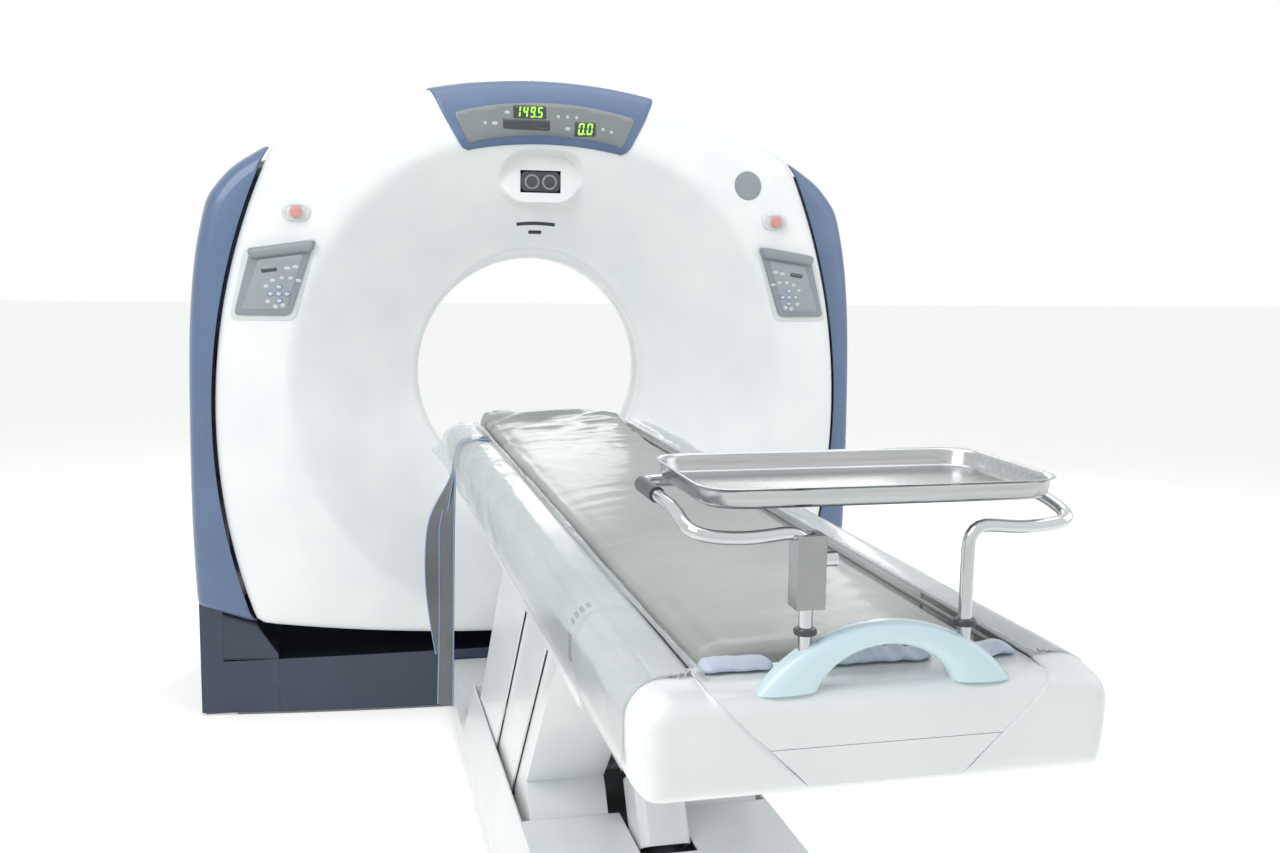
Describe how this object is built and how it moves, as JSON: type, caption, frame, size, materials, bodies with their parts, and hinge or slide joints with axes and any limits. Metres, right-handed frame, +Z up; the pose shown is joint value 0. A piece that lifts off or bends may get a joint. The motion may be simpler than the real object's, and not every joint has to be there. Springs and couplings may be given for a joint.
{
  "type": "ct scanner",
  "caption": "CT scanner: tilting ring gantry with a round bore between fixed side cowls, and a patient table on a parallelogram lift with a sliding cradle.",
  "frame": {"origin": "floor point below the scan centre, in the middle of the gantry's anchor holes", "axes": "+X to the right seen from the table, +Y from the table through the bore, +Z up"},
  "size_m": [2.0212, 3.162, 1.879],
  "materials": {
    "housing": "satin moulded",
    "cowl_blue": "satin moulded",
    "base_blue": "satin",
    "table_cover": "satin moulded",
    "frame_steel": "powder coat",
    "machined_steel": "machined",
    "cast_iron": "painted",
    "aluminium": "machined",
    "copper": "machined",
    "lens": "gloss",
    "panel_grey": "satin",
    "key_film": "satin",
    "window": "frosted",
    "dark_window": "gloss",
    "belt": "matt",
    "stop_red": "gloss",
    "stop_pad": "gloss",
    "film": "clear film",
    "webbing": "woven",
    "vinyl": "satin vinyl",
    "carbon": "gloss laminate",
    "handle_aqua": "gloss",
    "chrome_rod": "polished",
    "stainless": "brushed"
  },
  "bodies": {
    "root": {"gantry_base_frame": "frame_steel", "stand_left": "frame_steel", "stand_right": "frame_steel", "tilt_gearbox": "cast_iron", "side_cowl_left": "cowl_blue", "side_cowl_right": "cowl_blue", "plinth_front": "base_blue", "plinth_ends": "base_blue", "plinth_rear": "base_blue", "table_base_frame": "frame_steel", "table_base_cover": "table_cover"},
    "gantry": {"tilt_frame": "frame_steel", "bearing_race": "machined_steel", "front_cover": "housing", "rear_cover": "housing", "display_bezel": "cowl_blue", "display_lens": "lens", "bore_liner": "housing", "scan_window": "window", "control_panel_left": "panel_grey", "control_panel_right": "panel_grey", "keypads": "key_film", "estop_bezels": "stop_pad", "light_pod": "dark_window", "drive_motor": "cast_iron", "drive_belt": "belt"},
    "rotor": {"rotor_ring": "aluminium", "xray_tube": "panel_grey", "collimator": "cast_iron", "detector": "cast_iron", "hv_tank": "aluminium", "slip_ring": "copper", "counterweight": "cast_iron"},
    "motor": {"motor_pulley": "machined_steel"},
    "stop_left": {"estop_button_left": "stop_red"},
    "stop_right": {"estop_button_right": "stop_red"},
    "rear_leg": {"rear_leg": "frame_steel", "rear_shroud": "table_cover"},
    "mid_shroud": {"mid_shroud": "table_cover"},
    "front_leg": {"front_leg": "frame_steel", "front_shroud": "table_cover"},
    "actuator": {"actuator_cylinder": "cast_iron"},
    "actuator_stage": {"actuator_stage": "machined_steel"},
    "actuator_rod": {"actuator_rod": "machined_steel", "actuator_cover": "table_cover"},
    "table": {"table_frame": "frame_steel", "side_cover_left": "table_cover", "side_cover_right": "table_cover", "foot_cap": "table_cover", "foot_cover": "table_cover", "cradle_motor": "cast_iron", "film_skirts": "film", "strap": "webbing"},
    "cradle": {"cradle": "carbon", "cradle_foot": "table_cover", "handle": "handle_aqua", "mattress": "vinyl", "tray_frame": "chrome_rod", "tray": "stainless", "clamp_block": "panel_grey"}
  },
  "joints": [
    {"name": "gantry_tilt", "type": "hinge", "parent": "root", "child": "gantry", "pos_m": [0, 0, 1.015], "axis": [1, 0, 0], "range_deg": [-30, 30]},
    {"name": "rotor_spin", "type": "hinge", "parent": "gantry", "child": "rotor", "pos_m": [0, 0, 1.015], "axis": [0, 1, 0], "continuous": true},
    {"name": "motor_spin", "type": "hinge", "parent": "gantry", "child": "motor", "pos_m": [0.59963, 0, 0.41537], "axis": [0, 1, 0], "continuous": true},
    {"name": "stop_left_press", "type": "slide", "parent": "gantry", "child": "stop_left", "axis": [0, 1, 0], "range_m": [0, 0.006], "stiffness_N_per_m": 500},
    {"name": "stop_right_press", "type": "slide", "parent": "gantry", "child": "stop_right", "axis": [0, 1, 0], "range_m": [0, 0.006], "stiffness_N_per_m": 500},
    {"name": "table_lift", "type": "hinge", "parent": "root", "child": "front_leg", "pos_m": [0, -1.373, 0.13], "axis": [1, 0, 0], "range_deg": [-10, 18], "deforming": ["strap"]},
    {"name": "table_level", "type": "hinge", "parent": "front_leg", "child": "table", "pos_m": [0, -2.00904, 0.80025], "axis": [1, 0, 0], "range_deg": [-18.1, 10.1]},
    {"name": "rear_leg_swing", "type": "hinge", "parent": "root", "child": "rear_leg", "pos_m": [0, -0.901, 0.13], "axis": [1, 0, 0], "range_deg": [-10.1, 18.1]},
    {"name": "mid_shroud_swing", "type": "hinge", "parent": "root", "child": "mid_shroud", "pos_m": [0, -1.175, 0.13], "axis": [1, 0, 0], "range_deg": [-10.1, 18.1]},
    {"name": "actuator_pivot", "type": "hinge", "parent": "root", "child": "actuator", "pos_m": [0, -1.82, 0.06], "axis": [1, 0, 0], "range_deg": [-0.9, 1.4]},
    {"name": "actuator_stage_slide", "type": "slide", "parent": "actuator", "child": "actuator_stage", "axis": [0, 0.5581, 0.8298], "range_m": [-0.0534, 0.0305]},
    {"name": "actuator_rod_slide", "type": "slide", "parent": "actuator", "child": "actuator_rod", "axis": [0, 0.5581, 0.8298], "range_m": [-0.1068, 0.06]},
    {"name": "cradle_slide", "type": "slide", "parent": "table", "child": "cradle", "axis": [0, -1, 0], "range_m": [-1.65, 0]}
  ],
  "couplings": [
    {"joint": "motor_spin", "follows": "rotor_spin", "ratio": 17.073},
    {"joint": "table_level", "follows": "table_lift", "ratio": -1},
    {"joint": "rear_leg_swing", "follows": "table_lift", "ratio": 1},
    {"joint": "mid_shroud_swing", "follows": "table_lift", "ratio": 1},
    {"joint": "actuator_pivot", "follows": "table_lift", "ratio": 0.071},
    {"joint": "actuator_stage_slide", "follows": "table_lift", "m_per_rad": -0.1673},
    {"joint": "actuator_rod_slide", "follows": "table_lift", "m_per_rad": -0.3347}
  ]
}
